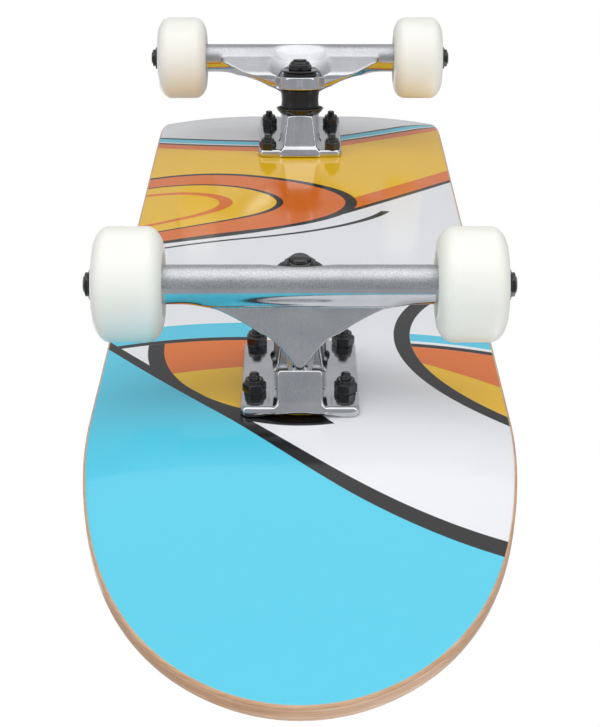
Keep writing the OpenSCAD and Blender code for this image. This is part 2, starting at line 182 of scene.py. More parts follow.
def threaded(radius, pitch, depth, low, high, steps=32, per_turn=8):
    """A threaded rod from low to high, with a chamfered tip at high."""
    angles = np.arange(steps) * 2 * math.pi / steps
    count = max(4, int((high - low) / pitch * per_turn))
    rings = []
    for z in np.linspace(low, high, count + 1):
        phase = (z / pitch - angles / (2 * math.pi)) % 1
        r = radius - depth * (1 - np.abs(2 * phase - 1)) ** 0.8
        r = np.minimum(r, radius - depth + (high - z) * 1.2)
        rings.append(np.stack([r * np.cos(angles), r * np.sin(angles), np.full(steps, z)], 1))
    verts = np.concatenate(rings)
    faces = []
    for i in range(count):
        for k in range(steps):
            l = (k + 1) % steps
            faces.append((i * steps + k, i * steps + l, (i + 1) * steps + l, (i + 1) * steps + k))
    faces.append(tuple(range(steps - 1, -1, -1)))
    faces.append(tuple(count * steps + k for k in range(steps)))
    return verts, faces


def joined(parts):
    """Several (verts, faces) as one."""
    verts, faces, base = [], [], 0
    for v, f in parts:
        verts.append(np.asarray(v))
        faces += [tuple(i + base for i in face) for face in f]
        base += len(v)
    return np.concatenate(verts), faces


def moved(part, matrix):
    m = np.array(matrix)
    return part[0] @ m[:3, :3].T + m[:3, 3], part[1]


# ---- Castings: distance fields turned into meshes -----------------------------------------------------

def smin(a, b, k):
    h = np.clip(0.5 + 0.5 * (b - a) / k, 0, 1)
    return b * (1 - h) + a * h - k * h * (1 - h)


def smax(a, b, k):
    return -smin(-a, -b, k)


def net(field, low, high, step):
    """Closed quads on a field's zero surface (surface nets), moved onto it along its gradient."""
    axes = [np.arange(l, h + step, step) for l, h in zip(low, high)]
    x, y, z = np.meshgrid(*axes, indexing="ij", sparse=False)
    d = field(x, y, z)
    inside = d < 0
    shape = tuple(n - 1 for n in d.shape)

    def corner(i, j, k):
        return tuple(slice(o, o + s) for o, s in zip((i, j, k), shape))

    total = sum(inside[corner(i, j, k)].astype(np.int8) for i in (0, 1) for j in (0, 1) for k in (0, 1))
    cells = np.argwhere((total > 0) & (total < 8))
    index = np.full(shape, -1, np.int64)
    index[tuple(cells.T)] = np.arange(len(cells))
    points = np.zeros((len(cells), 3))
    count = np.zeros(len(cells))
    for axis in range(3):
        for o1 in (0, 1):
            for o2 in (0, 1):
                first = np.insert([o1, o2], axis, 0)
                a = cells + first
                b = a.copy()
                b[:, axis] += 1
                da, db = d[tuple(a.T)], d[tuple(b.T)]
                cross = (da < 0) != (db < 0)
                t = np.where(cross, da / np.where(cross, da - db, 1), 0)
                p = a.astype(float)
                p[:, axis] += t
                points += np.where(cross[:, None], p, 0)
                count += cross
    points = points / count[:, None] * step + np.array(low)
    quads = []
    for axis in range(3):
        u, v = (axis + 1) % 3, (axis + 2) % 3
        lower = [slice(None)] * 3
        upper = [slice(None)] * 3
        lower[axis], upper[axis] = slice(0, -1), slice(1, None)
        change = inside[tuple(lower)] != inside[tuple(upper)]
        edges = np.argwhere(change)
        across, along = edges[:, u], edges[:, v]
        edges = edges[(across > 0) & (along > 0) & (across < shape[u]) & (along < shape[v])]
        out = []
        for du, dv in ((-1, -1), (0, -1), (0, 0), (-1, 0)):
            c = edges.copy()
            c[:, u] += du
            c[:, v] += dv
            out.append(index[tuple(c.T)])
        quad = np.stack(out, 1)
        flip = inside[tuple(edges.T)]
        quad[~flip] = quad[~flip][:, ::-1]
        quads.append(quad)
    quads = np.concatenate(quads)
    for _ in range(2):
        px, py, pz = points.T
        value = field(px, py, pz)
        e = 0.02
        gradient = np.stack([field(px + e, py, pz) - value, field(px, py + e, pz) - value,
                             field(px, py, pz + e) - value], 1) / e
        size = (gradient ** 2).sum(1)
        move = -value[:, None] * gradient / np.maximum(size, 0.25)[:, None]
        points += np.clip(move, -0.4 * step, 0.4 * step)
    return points, quads


def kingpin_coordinates(x, y, z):
    """(distance along the kingpin, distance from its axis) in a truck's frame."""
    dx, dz = x - RING_X, z - RING_Z
    s, c = math.sin(KINGPIN_LEAN), math.cos(KINGPIN_LEAN)
    return dx * s + dz * c, np.hypot(dx * c - dz * s, y)


def pivot_coordinates(x, y, z):
    """(distance back from the ring along the steering axis, distance from it) in a truck's frame."""
    dx, dz = x - RING_X, z - RING_Z
    s, c = math.sin(PIVOT_ANGLE), math.cos(PIVOT_ANGLE)
    return -(dx * c + dz * s), np.hypot(dz * c - dx * s, y)


YOKE_APEX, YOKE_TILT, YOKE_TOP, YOKE_THICK = (-33.0, 18.4), math.radians(24.5), 27.4, 7.0


def yoke_coordinates(x, z):
    """(height up the yoke's outer face from its apex, distance outward of that face)."""
    dx, dz = x - YOKE_APEX[0], z - YOKE_APEX[1]
    s, c = math.sin(YOKE_TILT), math.cos(YOKE_TILT)
    return dx * s + dz * c, -dx * c + dz * s


def yoke_half(h):
    h = np.clip(h, -3, 28)
    return 1.8 + 0.70 * h + 0.0009 * h ** 3


def hanger_field(x, y, z):
    side = np.abs(y)
    t, from_kingpin = kingpin_coordinates(x, y, z)
    back, from_pivot = pivot_coordinates(x, y, z)
    h, out = yoke_coordinates(x, z)
    barrel = smax(np.hypot(x + AXLE_OUT, z - AXLE_DROP) - BARREL_R, side - HANGER_HALF, 1.0)
    # yoke between the barrel and the pivot nose
    grown = 0.70 + 0.0027 * np.clip(h, -3, 28) ** 2
    outline = (side - yoke_half(h)) / np.sqrt(1 + grown ** 2)
    yoke = smax(smax(outline, out - 1.6, 4.0), -out - YOKE_THICK, 2.5)
    yoke = smax(smax(yoke, h - 30, 2.0), -h, 2.0)
    # web between the barrel and the ring, under a plane that slopes down from the barrel's top
    above = t + RING_HALF
    spread = 17.5 + 1.75 * np.clip(above, 0, 16) + 0.02 * np.clip(above, 0, 16) ** 2
    slope = (x - 1.0) * 0.438 + (z - 51.7) * 0.899
    web = smax((side - spread) / 2.0, slope, 1.8)
    web = smax(smax(web, -above, 2.2), out + 0.5, 1.5)
    web = smax(web, x - RING_X - 1.5, 3.0)
    ring = smax(from_kingpin - RING_R - 0.5, np.abs(t) - RING_HALF, 1.4)
    taper = 1.6 * np.clip((PIVOT_BALL - 4.5 - back) / 9, 0, 1)
    nose = smax(from_pivot - PIVOT_BALL_R - taper, back - PIVOT_BALL, 0.2)
    nose = smax(nose, 36.0 - back, 0.5)
    ball = np.sqrt(from_pivot ** 2 + (back - PIVOT_BALL) ** 2) - PIVOT_BALL_R
    body = smin(barrel, web, 1.6)
    body = smin(body, yoke, 4.5)
    body = smin(body, ring, 1.6)
    body = smin(body, smin(nose, ball, 0.3), 2.5)
    # milled outer face of the yoke, with a small ledge under the barrel
    ledge = smax(h - YOKE_TOP, -out, 0.6)
    body = smax(body, -ledge, 0.5)
    # hollow round the kingpin's nut, in two steps
    dish = np.sqrt((x - DISH_X) ** 2 + y ** 2 + (z - DISH_Z) ** 2) - DISH_R
    dish = smax(dish, RING_HALF - t, 1.0)
    body = smax(body, -dish, 0.9)
    pocket = smax(from_kingpin - POCKET_R, UPPER_SEAT - t, 0.6)
    body = smax(body, -pocket, 1.0)
    # room for the lower bushing and its washer, and the bores
    room = smax(from_kingpin - BUSHING_ROOM_R, t + RING_HALF, 0.8)
    room = smax(room, -t - 24, 1.0)
    body = smax(body, -room, 0.8)
    body = smax(body, RING_BORE - from_kingpin - np.clip(np.abs(t) - 9, 0, 60) * 3, 0.6)
    bore = smax(np.hypot(x + AXLE_OUT, z - AXLE_DROP) - AXLE_R - 0.03, HANGER_HALF - 3 - side, 0.1)
    return smax(body, -bore, 0.2)


PIVOT_MOUTH, CUP_R, CUP_FLOOR = 50.2, 6.75, 57.9
HOUSING_HALF, SEAT_R = 10.3, 12.2


def baseplate_field(x, y, z):
    side = np.abs(y)
    t, from_kingpin = kingpin_coordinates(x, y, z)
    back, from_pivot = pivot_coordinates(x, y, z)
    # plate with round corners and a rolled upper edge
    corner, middle, half = 5.0, (PLATE_IN - PLATE_OUT) / 2, (PLATE_IN + PLATE_OUT) / 2
    qx = np.abs(x - middle) - half + corner
    qy = side - PLATE_HALF + corner
    outline = np.hypot(np.maximum(qx, 0), np.maximum(qy, 0)) + np.minimum(np.maximum(qx, qy), 0) - corner
    plate = smax(smax(outline, z - PLATE_THICK, 2.6), -z, 0.3)
    # pivot housing: outer face, mouth plane and sides
    face_x, face_z = 14.6, 5.0
    length = math.hypot(face_x, face_z)
    outer = (-(x + PLATE_OUT - 0.3) * face_x + (z - PLATE_THICK) * face_z) / length
    mouth = PIVOT_MOUTH - back
    housing = smax(smax(outer, mouth, 1.6), side - HOUSING_HALF, 2.0)
    housing = smax(housing, x + 22.0, 1.0)
    # ramp up to the kingpin's seat
    rise, run = 24.2 - PLATE_THICK, PLATE_IN - 23.5
    slant = math.hypot(rise, run)
    ramp = ((x - PLATE_IN + 0.2) * rise + (z - PLATE_THICK) * run) / slant
    ramp = smax(smax(ramp, side - 11.6 + 0.14 * z, 1.6), -x - 4.0, 1.0)
    ramp = smax(ramp, t + SEAT + 0.1, 0.8)
    boss = smax(from_kingpin - SEAT_R, t + SEAT, 1.4)
    boss = smax(boss, 1.0 - z, 0.2)
    rib = smax(side - 3.2, z - 11.0 + 0.5 * np.abs(x + 22), 1.2)
    rib = smax(rib, np.abs(x + 22) - 8, 1.0)
    body = smin(plate, smax(housing, 1.0 - z, 0.2), 3.2)
    body = smin(body, smax(ramp, 1.0 - z, 0.2), 3.2)
    body = smin(body, boss, 2.6)
    body = smin(body, rib, 2.0)
    # cut flush with the plate's underside, then bores, pocket and the arch under the outer edge
    body = smax(body, -z, 0.3)
    body = smax(body, -smax(from_pivot - CUP_R, back - CUP_FLOOR, 0.3), 0.6)
    body = smax(body, 4.8 - from_kingpin, 0.5)
    body = smax(body, -smax(from_kingpin - 8.1, t + 36.3, 0.3), 0.3)
    for bx in (-BOLT_X, BOLT_X):
        body = smax(body, 2.6 - np.hypot(x - bx, side - BOLT_Y), 0.3)
    arch = smax(np.hypot(y, z - 2.2 + 78.9) - 78.9, x + PLATE_OUT - 7.0, 0.5)
    return smax(body, -arch, 0.4)


# ---- Material building ----------------------------------------------------------------------------

def srgb(red, green, blue):
    """A linear colour from 8-bit sRGB."""
    c = np.array([red, green, blue]) / 255
    c = np.where(c <= 0.04045, c / 12.92, ((c + 0.055) / 1.055) ** 2.4)
    return (*c.tolist(), 1.0)


class Shader:
    """Builds one material's nodes. Texture coordinates are object coordinates, in metres."""

    def __init__(self, name):
        self.material = bpy.data.materials.new(name)
        self.material.use_nodes = True
        self.tree = self.material.node_tree
        self.shader = self.tree.nodes["Principled BSDF"]
        self.position = self.node("TexCoord").outputs["Object"]

    def node(self, kind, **settings):
        made = self.tree.nodes.new("ShaderNode" + kind)
        for key, value in settings.items():
            setattr(made, key, value)
        return made

    def feed(self, socket, value):
        if isinstance(value, bpy.types.NodeSocket):
            self.tree.links.new(value, socket)
        elif value is not None:
            socket.default_value = value

    def set(self, **values):
        """Sets the shader's sockets, such as coat_weight=0.5, and returns the material."""
        names = {key: " ".join(w.upper() if w == "ior" else w.capitalize() for w in key.split("_"))
                 for key in values}
        for key, value in values.items():
            self.feed(self.shader.inputs[names[key]], value)
        return self.material

    def math(self, operation, *values, clamp=False):
        made = self.node("Math", operation=operation, use_clamp=clamp)
        for socket, value in zip(made.inputs, values):
            self.feed(socket, value)
        return made.outputs[0]

    def remap(self, value, low, high, to_low=0.0, to_high=1.0, smooth=False):
        made = self.node("MapRange", clamp=True)
        if smooth:
            made.interpolation_type = "SMOOTHSTEP"
        for socket, v in zip(made.inputs, (value, low, high, to_low, to_high)):
            self.feed(socket, v)
        return made.outputs[0]

    def mix(self, factor, a, b, blend="MIX"):
        made = self.node("Mix", data_type="RGBA", blend_type=blend)
        for index, value in ((0, factor), (6, a), (7, b)):
            self.feed(made.inputs[index], value)
        return made.outputs[2]

    def scaled(self, x, y, z, vector=None):
        made = self.node("VectorMath", operation="MULTIPLY")
        self.feed(made.inputs[0], vector or self.position)
        made.inputs[1].default_value = (x, y, z)
        return made.outputs[0]

    def noise(self, scale, detail=2.0, roughness=0.5, vector=None, distortion=0.0):
        made = self.node("TexNoise")
        self.feed(made.inputs["Vector"], vector or self.position)
        for key, value in (("Scale", scale), ("Detail", detail), ("Roughness", roughness),
                           ("Distortion", distortion)):
            made.inputs[key].default_value = value
        return made.outputs[0]

    def cells(self, scale, feature="F1", vector=None, output="Distance"):
        made = self.node("TexVoronoi", feature=feature)
        self.feed(made.inputs["Vector"], vector or self.position)
        made.inputs["Scale"].default_value = scale
        return made.outputs[output]

    def attribute(self, name, output="Fac"):
        return self.node("Attribute", attribute_name=name).outputs[output]

    def bump(self, height, distance, strength=1.0, normal=None):
        """A bump whose height, from 0 to 1, stands for a distance in millimetres."""
        made = self.node("Bump")
        for key, value in (("Height", height), ("Distance", distance * MM), ("Strength", strength),
                           ("Normal", normal)):
            self.feed(made.inputs[key], value)
        return made.outputs[0]


def set_attribute(obj, name, values):
    """Stores one number, or one vector, for each vertex."""
    values = np.asarray(values, np.float32)
    kind, key = ("FLOAT", "value") if values.ndim == 1 else ("FLOAT_VECTOR", "vector")
    obj.data.attributes.new(name, kind, "POINT").data.foreach_set(key, values.ravel())
    return obj


# ---- Materials --------------------------------------------------------------------------------------

BLUE, BLACK, WHITE = srgb(84, 203, 229), srgb(16, 16, 18), srgb(238, 239, 241)
YELLOW, ORANGE = srgb(240, 190, 22), srgb(224, 112, 30)


def deck_material():
    """Lacquered print of plain curved bands below, and the edge's seven plies."""
    m = Shader("maple_laminate_gloss")
    flat = m.node("SeparateXYZ")
    m.feed(flat.inputs[0], m.attribute("flat", "Vector"))
    along, across, height = flat.outputs

    def parabola(at, slant, bend):
        """Distance towards the nose of the curve along = at + slant * across + bend * across^2."""
        curve = m.math("MULTIPLY_ADD", across, m.math("MULTIPLY_ADD", across, bend, slant), at)
        return m.math("SUBTRACT", along, curve)

    def circle(x, y, radius, squeeze=1.0):
        """Distance inside a circle."""
        dx = m.math("MULTIPLY", m.math("SUBTRACT", along, x), squeeze)
        dy = m.math("SUBTRACT", across, y)
        length = m.math("SQRT", m.math("ADD", m.math("MULTIPLY", dx, dx), m.math("MULTIPLY", dy, dy)))
        return m.math("SUBTRACT", radius, length)

    def between(value, low=None, high=None):
        """1 where low < value < high, with an edge 0.3 mm soft."""
        parts = []
        if low is not None:
            parts.append(m.remap(value, low - 0.15, low + 0.15))
        if high is not None:
            parts.append(m.remap(value, high - 0.15, high + 0.15, 1.0, 0.0))
        return m.math("MULTIPLY", *parts) if len(parts) == 2 else parts[0]

    def both(*masks):
        result = masks[0]
        for mask in masks[1:]:
            result = m.math("MULTIPLY", result, mask)
        return result

    def stripes(colour, value, bands, *masks):
        """Colour with bands, each (low, high, its colour), laid over it in turn."""
        for low, high, tone in bands:
            colour = m.mix(both(between(value, low, high), *masks), colour, tone)
        return colour

    colour = m.mix(m.remap(m.noise(4.0), 0.3, 0.7), WHITE, srgb(232, 233, 236))
    # broad field across the far half, with lines along its far border
    field = parabola(-210.0, 0.62, -0.0042)
    beyond = parabola(-366.0, 0.22, -0.0050)
    colour = stripes(colour, field, ((-400, 0, BLACK), (-400, -5, ORANGE), (-400, -24, YELLOW)),
                     between(beyond, 0.0))
    colour = stripes(colour, beyond, ((0, 3, BLACK), (3, 12, ORANGE), (-9, -2, BLUE), (-12, -9, BLACK)),
                     between(field, None, -5.0))
    # nested arcs from the left rail
    arcs = circle(-250.0, 112.0, 146.0, 2.3)
    colour = stripes(colour, arcs, ((0, 200, BLACK), (7, 200, ORANGE), (44, 48, BLACK), (48, 200, YELLOW),
                                    (74, 82, ORANGE)))
    colour = stripes(colour, arcs, ((-22, -17, BLACK),), between(along, -236.0))
    # rings that come in from the right rail
    ring = circle(-45.0, -150.0, 104.0)
    colour = stripes(colour, ring, ((0, 200, BLACK), (8, 200, WHITE)))
    inner = between(ring, 8.0)
    colour = stripes(colour, along, ((-52, -43, BLUE), (-40, -36, BLACK), (-36, 60, ORANGE)), inner)
    colour = stripes(colour, parabola(-46.0, -0.5, 0.0), ((0, 100, YELLOW),), inner)
    # round patch beside the truck
    patch = circle(-40.0, 0.0, 74.0, 0.8)
    stop = circle(0.0, -80.0, 82.0)
    nearer = between(along, -42.0)
    colour = stripes(colour, patch, ((0, 200, BLACK), (8, 200, YELLOW)), nearer, between(stop, None, 0.0))
    colour = stripes(colour, parabola(-14.0, 0.15, 0.0), ((-60, 0, ORANGE),), nearer, between(patch, 8.0),
                     between(stop, None, 0.0))
    colour = stripes(colour, along, ((-46, -42, BLACK), (-64, -46, BLUE)), between(across, 22.0))
    # nose
    nose = parabola(70.0, -0.93, -0.0040)
    colour = stripes(colour, nose, ((0, 400, BLACK), (9, 400, BLUE)))

    # plies
    grain = m.noise(60.0, 6.0, 0.65, m.scaled(1.0, 1.0, 12.0))
    fine = m.noise(900.0, 3.0, 0.6, m.scaled(0.12, 0.12, 1.0))
    wavy = m.math("MULTIPLY_ADD", m.noise(25.0, 2.0), 0.16, height)
    ply = m.math("DIVIDE", wavy, 11.0 / 7)
    seam = m.math("PINGPONG", ply, 0.5)
    layer = m.node("TexWhiteNoise", noise_dimensions="1D")
    m.feed(layer.inputs["W"], m.math("FLOOR", ply))
    wood = m.mix(layer.outputs[0], srgb(236, 202, 168), srgb(216, 172, 134))
    wood = m.mix(m.remap(grain, 0.35, 0.7), wood, srgb(202, 154, 116))
    wood = m.mix(m.math("MULTIPLY", m.remap(seam, 0.0, 0.09, 1.0, 0.0), 0.6), wood, srgb(150, 104, 72))
    wood = m.mix(m.math("MULTIPLY", m.remap(fine, 0.3, 0.6, 1.0, 0.0), 0.2), wood, srgb(160, 116, 84))
    edge = m.remap(height, 0.10, 0.22)
    # the print ends where the edge's rounding starts
    colour = m.mix(edge, colour, wood)
    wear = m.noise(140.0, 5.0, 0.6)
    gloss = m.remap(wear, 0.3, 0.75, 0.10, 0.17)
    rough = m.math("ADD", m.math("MULTIPLY", edge, 0.3), gloss)
    peel = m.bump(m.noise(110.0, 3.0, 0.45), 0.05, 0.35)
    bump = m.bump(m.math("MULTIPLY", fine, edge), 0.10, 0.6, peel)
    return m.set(base_color=colour, roughness=rough, normal=bump, coat_weight=0.15, coat_roughness=0.05,
                 specular_ior_level=0.4)


def grip_material():
    """Silicon-carbide grit on black film."""
    m = Shader("grip_black_grit")
    grit = m.cells(2100.0)
    coarse = m.noise(1400.0, 4.0, 0.7)
    # painted glints: random grains painted lighter grey, which are also made smoother
    painted_glint = m.remap(m.cells(1500.0, output="Color"), 0.86, 0.93)
    patch = m.remap(m.noise(18.0, 4.0, 0.6), 0.35, 0.7)
    colour = m.mix(patch, srgb(34, 34, 36), srgb(44, 44, 46))
    colour = m.mix(m.math("MULTIPLY", m.remap(grit, 0.2, 0.6), 0.7), colour, srgb(16, 16, 17))
    colour = m.mix(m.math("MULTIPLY", painted_glint, 0.45), colour, srgb(122, 122, 126))
    rough = m.remap(painted_glint, 0.0, 1.0, 0.86, 0.4)
    bump = m.bump(m.math("ADD", grit, m.math("MULTIPLY", coarse, 0.6)), 0.25, 0.9)
    return m.set(base_color=colour, roughness=rough, normal=bump, specular_ior_level=0.4)


def aluminium_material():
    """Cast aluminium, whose vertices say how rough, grainy and brushed it is."""
    m = Shader("cast_aluminium_finished")
    rough, grain, brush = m.attribute("rough"), m.attribute("grain"), m.attribute("brush")
    lines = m.noise(1.0, 3.0, 0.7, m.scaled(1500.0, 2300.0, 500.0))
    broad = m.noise(1.0, 2.0, 0.5, m.scaled(25.0, 900.0, 25.0))
    pits = m.noise(1700.0, 3.0, 0.75)
    cloud = m.noise(70.0, 4.0, 0.6)
    tone = m.mix(m.remap(cloud, 0.3, 0.7), srgb(206, 207, 210), srgb(222, 223, 225))
    tone = m.mix(m.math("MULTIPLY", m.remap(lines, 0.35, 0.65), m.math("MULTIPLY", brush, 0.4)),
                 tone, srgb(172, 175, 180))
    tone = m.mix(m.math("MULTIPLY", m.remap(pits, 0.42, 0.62), m.math("MULTIPLY", grain, 0.7)),
                 tone, srgb(158, 160, 164))
    vary = m.math("MULTIPLY_ADD", m.math("SUBTRACT", cloud, 0.5), 0.10, rough)
    vary = m.math("MULTIPLY_ADD", m.math("MULTIPLY", m.math("SUBTRACT", broad, 0.5), brush), 0.35, vary)
    first = m.bump(lines, 0.030, m.math("MULTIPLY", brush, 0.55))
    second = m.bump(pits, 0.14, m.math("MULTIPLY", grain, 0.9), first)
    third = m.bump(m.noise(55.0, 2.0, 0.4), 0.05, 0.12, second)
    return m.set(base_color=tone, metallic=1.0, roughness=m.math("MAXIMUM", vary, 0.05), normal=third)


def steel_material(name, tone, metallic, roughness, scale, direction):
    """Machined or coated steel with fine tool lines along one direction."""
    m = Shader(name)
    lines = m.noise(1.0, 3.0, 0.65, m.scaled(*direction))
    cloud = m.noise(scale, 4.0, 0.6)
    dark = tuple(c * 0.62 for c in tone[:3]) + (1.0,)
    colour = m.mix(m.remap(cloud, 0.35, 0.72), tone, dark)
    colour = m.mix(m.math("MULTIPLY", m.remap(lines, 0.4, 0.7), 0.3), colour, dark)
    rough = m.remap(cloud, 0.25, 0.75, roughness * 0.8, roughness * 1.35)
    bump = m.bump(lines, 0.018, 0.5)
    return m.set(base_color=colour, metallic=metallic, roughness=rough, normal=bump)


def black_material():
    """Black oxide on steel, a little bare on sharp edges."""
    m = Shader("black_oxide_steel")
    cloud = m.noise(380.0, 4.0, 0.6)
    fine = m.noise(3200.0, 2.0, 0.6)
    edge = m.node("NewGeometry").outputs["Pointiness"]
    bare = m.math("MULTIPLY", m.remap(edge, 0.56, 0.66), m.remap(cloud, 0.4, 0.6, 0.1, 0.5))
    colour = m.mix(m.remap(cloud, 0.3, 0.7), srgb(9, 9, 10), srgb(18, 18, 20))
    colour = m.mix(bare, colour, srgb(70, 71, 74))
    rough = m.remap(cloud, 0.3, 0.75, 0.14, 0.28)
    bump = m.bump(fine, 0.02, 0.35)
    return m.set(base_color=colour, roughness=rough, normal=bump, metallic=0.25, coat_weight=0.5,
                 coat_roughness=0.12, specular_ior_level=0.7)


def urethane_material(name, tone, shade, roughness, soft):
    """Cast urethane: satin, faintly mottled, with light soaking into it when soft is above 0."""
    m = Shader(name)
    cloud = m.noise(45.0, 3.0, 0.55)
    fine = m.noise(1300.0, 3.0, 0.6)
    colour = m.mix(m.remap(cloud, 0.3, 0.7), tone, shade)
    rough = m.math("MULTIPLY_ADD", m.math("SUBTRACT", fine, 0.5), 0.12,
                   m.remap(cloud, 0.3, 0.7, roughness * 0.9, roughness * 1.15))
    bump = m.bump(m.noise(240.0, 3.0, 0.5), 0.03, 0.4, m.bump(fine, 0.012, 0.5))
    material = m.set(base_color=colour, roughness=rough, normal=bump, specular_ior_level=0.5)
    if soft:
        m.set(subsurface_weight=soft, subsurface_radius=(1.0, 0.85, 0.6), subsurface_scale=0.004)
    return material


DECK = deck_material()
GRIP = grip_material()
ALUMINIUM = aluminium_material()
BLACK_STEEL = black_material()
AXLE_STEEL = steel_material("axle_ground_steel", srgb(176, 177, 180), 1.0, 0.28, 160.0,
                            (60.0, 2600.0, 60.0))
BEARING_STEEL = steel_material("bearing_polished_steel", srgb(196, 197, 200), 1.0, 0.16, 220.0,
                               (400.0, 3000.0, 400.0))
BUSHING = urethane_material("bushing_urethane_black", srgb(20, 20, 21), srgb(27, 27, 28), 0.34, 0.0)
WHEEL = urethane_material("wheel_urethane_ivory", srgb(252, 252, 242), srgb(249, 249, 238), 0.36, 0.25)
SHIELD = urethane_material("shield_rubber_black", srgb(24, 24, 25), srgb(34, 33, 33), 0.5, 0.0)


# ---- Deck -------------------------------------------------------------------------------------------

def deck_surface(along, across, up):
    """Points of the deck, in millimetres, from flat coordinates and a height above its underside."""
    nose = along > 0
    base = np.where(nose, TRUCK_X["front"], TRUCK_X["rear"])
    sign = np.where(nose, 1.0, -1.0)
    s = np.maximum((along - base) * sign, 0)
    inside = np.where((along - base) * sign < 0, along - base, 0)
    slope = np.clip((s - KICK_START) / KICK_R, 0, KICK_ANGLE)
    straight = np.maximum(s - KICK_START - KICK_R * KICK_ANGLE, 0)
    reach = np.minimum(s, KICK_START) + KICK_R * np.sin(slope) + straight * math.cos(KICK_ANGLE)
    rise = KICK_R * (1 - np.cos(slope)) + straight * math.sin(KICK_ANGLE)
    curl = np.maximum(np.abs(across) - FLAT_HALF, 0) / (DECK_HALF - FLAT_HALF)
    h = up + CONCAVE * curl ** 2
    x = base + inside + sign * (reach - h * np.sin(slope))
    return np.stack([x, across, UNDER_Z + rise + h * np.cos(slope)], -1)


def deck_outline():
    """The deck's outline in flat coordinates, anticlockwise from the nose's tip, and its inward normals."""
    t = np.linspace(0, 1, 45)
    p = np.sin(t * math.pi / 2)
    half = DECK_HALF * np.sqrt(np.maximum(1 - p ** 3, 0))
    nose = np.stack([TRUCK_X["front"] + TAPER_START + (NOSE_ARC - TAPER_START) * p, half], 1)
    tail = np.stack([TRUCK_X["rear"] - TAPER_START - (TAIL_ARC - TAPER_START) * p, half], 1)
    side = np.linspace(nose[0, 0], tail[0, 0], 62)[1:-1]
    left = np.concatenate([nose[::-1], np.stack([side, np.full(60, DECK_HALF)], 1), tail])
    right = left[-2:0:-1] * (1, -1)
    points = np.concatenate([left, right])
    tangent = np.roll(points, -1, 0) - np.roll(points, 1, 0)
    tangent /= np.linalg.norm(tangent, axis=1)[:, None]
    return points, np.stack([-tangent[:, 1], tangent[:, 0]], 1)


def pressed(name, edge, low, high, material):
    """A pressed sheet between two heights. edge lists (inset, height) from its underside to its top."""
    points, inward = deck_outline()
    count = len(points)
    spine = np.stack([np.clip(points[:, 0], TRUCK_X["rear"] - 92, TRUCK_X["front"] + 98),
                      np.zeros(count)], 1)
    steps = np.linspace(0.05, 0.93, 13)
    rings = []

    def inner_rings(parts, inset, height):
        start = points + inward * inset
        for part in parts:
            rings.append((spine + (start - spine) * part, np.full(count, height)))

    inner_rings(steps, edge[0][0], low)
    for inset, height in edge:
        rings.append((points + inward * inset, np.full(count, height)))
    inner_rings(steps[::-1], edge[-1][0], high)
    flat = np.concatenate([np.column_stack([place_, height]) for place_, height in rings])
    verts = deck_surface(flat[:, 0], flat[:, 1], flat[:, 2])
    faces = []
    for i in range(len(rings) - 1):
        a, b = i * count, (i + 1) * count
        for k in range(count):
            l = (k + 1) % count
            faces.append((a + k, a + l, b + l, b + k))
    last = (len(rings) - 1) * count
    for k in range(count // 2):
        m, n = (count - k) % count, count - k - 1
        quad = (k, k + 1, n, m)
        quad = tuple(dict.fromkeys(quad))
        faces.append(quad[::-1])
        faces.append(tuple(last + i for i in quad))
    flat[:, 0] -= TRUCK_X["front"]
    return drill(make_object(name, verts, faces, None, material), verts, flat)


def drill(obj, verts, flat):
    """Cuts the eight countersunk bolt holes, then stores each vertex's flat coordinates."""
    cutters = []
    for end in ENDS:
        for x in (-BOLT_X, BOLT_X):
            for y in (-BOLT_Y, BOLT_Y):
                profile = [(2.6, 3.0), (2.6, -9.2), (4.7, -11.8), (4.7, -16.0)]
                part = turned([(r, z) for r, z in reversed(profile)], 32, closed=False)
                cutters.append(moved(part, truck_matrix(end) @ Matrix.Translation((x, y, 0))))
    cutter = make_object("cutter", *joined(cutters), None, obj.data.materials[0], False)
    modifier = obj.modifiers.new("holes", "BOOLEAN")
    modifier.object = cutter
    modifier.solver = "EXACT"
    bpy.context.view_layer.update()
    mesh = bpy.data.meshes.new_from_object(obj.evaluated_get(bpy.context.evaluated_depsgraph_get()))
    obj.modifiers.clear()
    obj.data = mesh
    bpy.data.objects.remove(cutter)
    tree = KDTree(len(verts))
    for i, vert in enumerate(verts):
        tree.insert(vert, i)
    tree.balance()
    values = []
    for vertex in mesh.vertices:
        point = vertex.co / MM
        _, i, distance = tree.find(point)
        on_flat = (point.x - TRUCK_X["front"], point.y, point.z - UNDER_Z)
        values.append(flat[i] if distance < 0.01 else on_flat)
    return set_attribute(obj, "flat", values)


def deck_edge():
    """(inset, height) round the deck's edge: the underside's broad rounding, the side, the top's."""
    low, high = 2.0, 3.4
    lower = [(low - low * math.sin(a), low * (1 - math.cos(a))) for a in np.linspace(0, math.pi / 2, 8)]
    upper = [(high - high * math.cos(a), DECK_THICK - high + high * math.sin(a))
             for a in np.linspace(0, math.pi / 2, 8)]
    return [(low + 2.5, 0.0)] + lower + [(0.0, 5.0)] + upper + [(high + 2.5, DECK_THICK)]


TOP = DECK_THICK + GRIP_THICK
place(pressed("deck_board", deck_edge(), 0.0, DECK_THICK, DECK), "deck", "maple_laminate", "deck")
grip_edge = [(6.0, DECK_THICK), (3.4, DECK_THICK), (3.2, DECK_THICK + 0.1), (3.15, TOP - 0.25), (3.4, TOP),
             (6.0, TOP)]
place(pressed("grip_sheet", grip_edge, DECK_THICK, TOP, GRIP), "deck", "grip", "grip_tape")


# ---- Hardware ---------------------------------------------------------------------------------------

